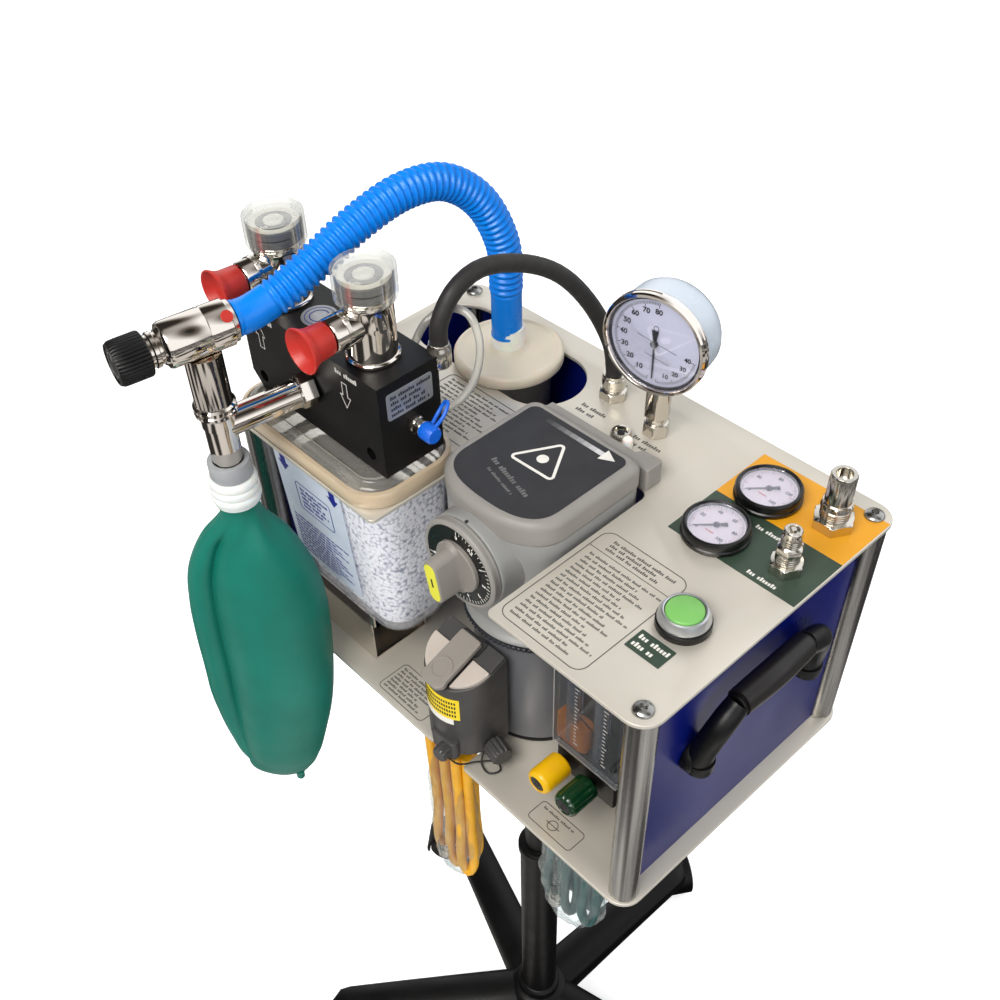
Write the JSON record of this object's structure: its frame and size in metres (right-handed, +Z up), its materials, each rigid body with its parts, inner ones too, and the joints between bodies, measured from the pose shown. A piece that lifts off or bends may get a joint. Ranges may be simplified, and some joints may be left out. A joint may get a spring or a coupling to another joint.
{
  "type": "anesthesia machine",
  "caption": "Small-animal anesthesia machine: boxed plate chassis with vaporizer, absorber, circle valves, bag, gauges and flowmeter on a wheeled star stand.",
  "frame": {"origin": "on the floor, under the middle of the bounding box", "axes": "+Z up, +X to the machine's right as a person in front of it sees it, +Y to its back"},
  "size_m": [0.699, 0.6806, 1.3834],
  "materials": {
    "plate": "satin clear-anodised plate",
    "post": "extruded bar, mill finish with fine lengthwise lines",
    "panel": "gloss enamel",
    "black_plastic": "moulded, lightly textured",
    "stand_black": "satin powder coat",
    "base_black": "moulded, satin",
    "tread": "smooth tread",
    "casting": "painted warm gray casting",
    "dial": "moulded, satin",
    "filler": "dark gray paint",
    "granules": "white granules behind a clear wall",
    "clear": "clear moulded acrylic",
    "polished": "polished plate",
    "bracket": "bright bent sheet",
    "anodised": "black anodised block",
    "red_cap": "soft moulded",
    "bag_teal": "thin moulded skin",
    "hose_blue": "corrugated, glossy",
    "canister_cream": "translucent moulding",
    "rubber_black": "matt hose",
    "manometer_white": "white enamel",
    "gauge_black": "moulded bezel",
    "needle": "matt paint",
    "nickel": "nickel plate",
    "flush_green": "moulded cap",
    "flow_clear": "clear acrylic block",
    "knob_yellow": "ribbed moulding",
    "knob_green": "ribbed moulding",
    "float": "ground ball",
    "supply_yellow": "coiled hose in a clear bag",
    "supply_green": "coiled hose in a clear bag"
  },
  "bodies": {
    "root": {"base_plate": "plate", "top_plate": "plate", "left_panel": "panel", "right_panel": "panel", "back_panel": "panel", "carry_handle": "black_plastic", "stand_column": "stand_black", "star_base": "base_black", "vaporizer_body": "casting", "vaporizer_cover": "casting", "filler_block": "filler", "absorber_canister": "granules", "absorber_lid": "clear", "absorber_bracket": "bracket", "valve_block": "anodised", "bag_arm": "polished", "apl_body": "polished", "breathing_bag": "bag_teal", "scavenge_hose": "hose_blue", "scavenge_canister": "canister_cream", "common_gas_hose": "rubber_black", "manometer_case": "manometer_white", "air_gauge": "gauge_black", "oxygen_gauge": "gauge_black", "air_inlet": "nickel", "oxygen_inlet": "nickel", "flowmeter_block": "flow_clear", "air_supply_hose": "supply_yellow", "oxygen_supply_hose": "supply_green", "post_front_left": "post", "post_front_right": "post", "post_back_left": "post", "post_back_right": "post", "exhale_valve": "polished", "exhale_dome": "clear", "inhale_valve": "polished", "inhale_dome": "clear"},
    "caster_fork_1": {"caster_fork_1": "base_black"},
    "caster_wheels_1": {"caster_wheels_1": "tread"},
    "caster_fork_2": {"caster_fork_2": "base_black"},
    "caster_wheels_2": {"caster_wheels_2": "tread"},
    "caster_fork_3": {"caster_fork_3": "base_black"},
    "caster_wheels_3": {"caster_wheels_3": "tread"},
    "caster_fork_4": {"caster_fork_4": "base_black"},
    "caster_wheels_4": {"caster_wheels_4": "tread"},
    "caster_fork_5": {"caster_fork_5": "base_black"},
    "caster_wheels_5": {"caster_wheels_5": "tread"},
    "vaporizer_dial": {"vaporizer_dial": "dial"},
    "filler_lever": {"filler_lever": "casting"},
    "air_flow_knob": {"air_flow_knob": "knob_yellow"},
    "oxygen_flow_knob": {"oxygen_flow_knob": "knob_green"},
    "air_float": {"air_float": "float"},
    "oxygen_float": {"oxygen_float": "float"},
    "flush_button": {"flush_button": "flush_green"},
    "apl_knob": {"apl_knob": "black_plastic"},
    "manometer_needle": {"manometer_needle": "needle"},
    "air_gauge_needle": {"air_gauge_needle": "needle"},
    "oxygen_gauge_needle": {"oxygen_gauge_needle": "needle"},
    "exhale_port_cap": {"exhale_port_cap": "red_cap"},
    "inhale_port_cap": {"inhale_port_cap": "red_cap"}
  },
  "joints": [
    {"name": "caster_swivel_1", "type": "hinge", "parent": "root", "child": "caster_fork_1", "pos_m": [0.3111, 0.05963, 0.09], "axis": [0, 0, 1], "continuous": true},
    {"name": "caster_spin_1", "type": "hinge", "parent": "caster_fork_1", "child": "caster_wheels_1", "pos_m": [0.31593, 0.07903, 0.034], "axis": [-0.9703, 0.2419, 0], "continuous": true},
    {"name": "caster_swivel_2", "type": "hinge", "parent": "root", "child": "caster_fork_2", "pos_m": [0.01929, 0.28761, 0.09], "axis": [0, 0, 1], "continuous": true},
    {"name": "caster_spin_2", "type": "hinge", "parent": "caster_fork_2", "child": "caster_wheels_2", "pos_m": [0.00233, 0.29821, 0.034], "axis": [-0.5299, -0.848, 0], "continuous": true},
    {"name": "caster_swivel_3", "type": "hinge", "parent": "root", "child": "caster_fork_3", "pos_m": [-0.2877, 0.08054, 0.09], "axis": [0, 0, 1], "continuous": true},
    {"name": "caster_spin_3", "type": "hinge", "parent": "caster_fork_3", "child": "caster_wheels_3", "pos_m": [-0.30303, 0.06768, 0.034], "axis": [0.6428, -0.766, 0], "continuous": true},
    {"name": "caster_swivel_4", "type": "hinge", "parent": "root", "child": "caster_fork_4", "pos_m": [-0.18563, -0.27542, 0.09], "axis": [0, 0, 1], "continuous": true},
    {"name": "caster_spin_4", "type": "hinge", "parent": "caster_fork_4", "child": "caster_wheels_4", "pos_m": [-0.17814, -0.29396, 0.034], "axis": [0.9272, 0.3746, 0], "continuous": true},
    {"name": "caster_swivel_5", "type": "hinge", "parent": "root", "child": "caster_fork_5", "pos_m": [0.18444, -0.28835, 0.09], "axis": [0, 0, 1], "continuous": true},
    {"name": "caster_spin_5", "type": "hinge", "parent": "caster_fork_5", "child": "caster_wheels_5", "pos_m": [0.20439, -0.28695, 0.034], "axis": [-0.0698, 0.9976, 0], "continuous": true},
    {"name": "vaporizer_dial_turn", "type": "hinge", "parent": "root", "child": "vaporizer_dial", "pos_m": [0.0333, -0.1492, 1.139], "axis": [0, -1, 0], "range_deg": [0, 260]},
    {"name": "filler_lever_lift", "type": "hinge", "parent": "root", "child": "filler_lever", "pos_m": [0.0333, -0.13727, 1.03475], "axis": [-1, 0, 0], "range_deg": [0, 45]},
    {"name": "air_flow_turn", "type": "hinge", "parent": "root", "child": "air_flow_knob", "pos_m": [0.1443, -0.1252, 0.957], "axis": [0, -1, 0], "range_deg": [0, 540]},
    {"name": "oxygen_flow_turn", "type": "hinge", "parent": "root", "child": "oxygen_flow_knob", "pos_m": [0.1763, -0.1252, 0.957], "axis": [0, -1, 0], "range_deg": [0, 540]},
    {"name": "air_float_rise", "type": "slide", "parent": "root", "child": "air_float", "axis": [0, 0, 1], "range_m": [0, 0.12]},
    {"name": "oxygen_float_rise", "type": "slide", "parent": "root", "child": "oxygen_float", "axis": [0, 0, 1], "range_m": [0, 0.12]},
    {"name": "flush_press", "type": "slide", "parent": "root", "child": "flush_button", "axis": [0, 0, -1], "range_m": [0, 0.005], "stiffness_N_per_m": 800, "springref_m": -0.002},
    {"name": "apl_turn", "type": "hinge", "parent": "root", "child": "apl_knob", "pos_m": [-0.15615, -0.23944, 1.322], "axis": [-0.1564, -0.9877, 0], "range_deg": [-300, 0]},
    {"name": "manometer_needle_turn", "type": "hinge", "parent": "root", "child": "manometer_needle", "pos_m": [0.05576, 0.05112, 1.266], "axis": [0.1822, -0.9833, 0], "range_deg": [-300, 0]},
    {"name": "air_gauge_needle_turn", "type": "hinge", "parent": "root", "child": "air_gauge_needle", "pos_m": [0.1733, 0.0708, 1.17], "axis": [0, 0, 1], "range_deg": [-270, 0]},
    {"name": "oxygen_gauge_needle_turn", "type": "hinge", "parent": "root", "child": "oxygen_gauge_needle", "pos_m": [0.1703, 0.0068, 1.17], "axis": [0, 0, 1], "range_deg": [-270, 0]},
    {"name": "exhale_cap_pull", "type": "slide", "parent": "root", "child": "exhale_port_cap", "axis": [0, -1, 0], "range_m": [0, 0.03]},
    {"name": "inhale_cap_pull", "type": "slide", "parent": "root", "child": "inhale_port_cap", "axis": [0, -1, 0], "range_m": [0, 0.03]}
  ],
  "couplings": [
    {"joint": "air_float_rise", "follows": "air_flow_turn", "m_per_rad": 0.012731},
    {"joint": "oxygen_float_rise", "follows": "oxygen_flow_turn", "m_per_rad": 0.012731}
  ]
}
